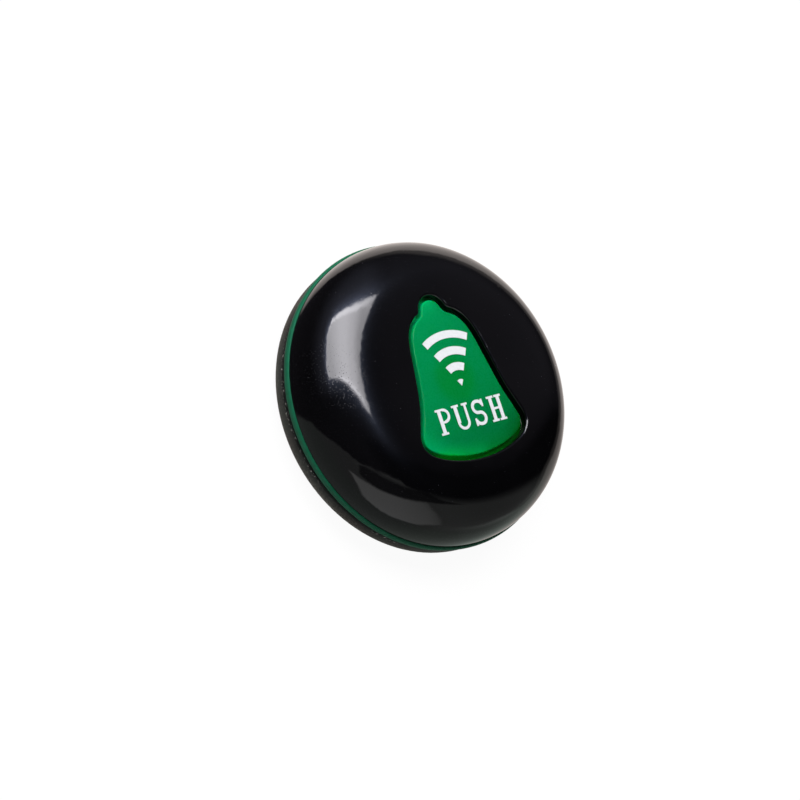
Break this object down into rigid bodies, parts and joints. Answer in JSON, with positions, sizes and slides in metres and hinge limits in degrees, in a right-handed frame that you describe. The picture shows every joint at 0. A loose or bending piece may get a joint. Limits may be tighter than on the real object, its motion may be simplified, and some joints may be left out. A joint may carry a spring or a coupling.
{
  "type": "wireless call pager",
  "caption": "Round push-button call pager: glossy domed cover, translucent bell-shaped key, green seal ring, and a base that holds the radio board and coin cell.",
  "frame": {"origin": "centre of the circular resting face, on the plane of the underside pad", "axes": "+Z is the axis of the case, up through the key; +Y points to the knob of the bell-shaped key; +X is to the right of the key when it is read"},
  "size_m": [0.0608, 0.0608, 0.0188],
  "materials": {
    "cover_black": "polished black moulding with faint scuffs",
    "key_green": "translucent green moulding, satin top",
    "print_white": "white pad print",
    "ring_green": "green silicone",
    "base_black": "fine spark-eroded texture, scuffed at the seam",
    "pad_grey": "soft closed-cell foam",
    "gasket_clear": "soft silicone",
    "board_green": "green solder mask over glass laminate",
    "screw_steel": "zinc plated",
    "switch_black": "black nylon",
    "switch_steel": "stamped",
    "plunger_black": "black nylon",
    "chip_black": "moulded epoxy",
    "lead_tin": "tin plated",
    "can_nickel": "nickel plated",
    "resistor_black": "thick film with tinned ends",
    "capacitor_tan": "sintered ceramic with tinned ends",
    "led_white": "white body with a clear lens",
    "coil_copper": "enamelled copper wire",
    "holder_black": "black nylon",
    "clip_steel": "nickel plated spring steel",
    "cell_steel": "fine lathe-brushed nickel plating",
    "cell_seal_grey": "moulded insulator"
  },
  "bodies": {
    "base": {"base_cover": "base_black", "base_pad": "pad_grey"},
    "housing": {"front_cover": "cover_black", "seal_ring": "ring_green", "key_gasket": "gasket_clear", "pcb": "board_green", "pcb_screws": "screw_steel", "switch_body": "switch_black", "switch_plate": "switch_steel", "switch_dome": "switch_steel", "switch_leads": "lead_tin", "encoder_chip": "chip_black", "encoder_leads": "lead_tin", "saw_resonator": "can_nickel", "chip_resistors": "resistor_black", "chip_capacitors": "capacitor_tan", "rf_transistor": "chip_black", "status_led": "led_white", "antenna_coil": "coil_copper", "cell_holder": "holder_black", "cell_clip": "clip_steel", "cell_contact": "clip_steel", "cell_can": "cell_steel", "cell_cap": "cell_steel", "cell_seal": "cell_seal_grey"},
    "key": {"call_key": "key_green", "key_signal_mark": "print_white", "key_word_mark": "print_white"},
    "plunger": {"switch_plunger": "plunger_black"}
  },
  "joints": [
    {"name": "case_opening", "type": "slide", "parent": "base", "child": "housing", "axis": [0, 0, 1], "range_m": [0, 0.03]},
    {"name": "key_press", "type": "slide", "parent": "housing", "child": "key", "axis": [0, 0, -1], "range_m": [0, 0.0004], "stiffness_N_per_m": 2500, "springref_m": -0.0004},
    {"name": "plunger_travel", "type": "slide", "parent": "housing", "child": "plunger", "axis": [0, 0, -1], "range_m": [0, 0.0004]}
  ],
  "couplings": [
    {"joint": "plunger_travel", "follows": "key_press", "ratio": 1}
  ]
}
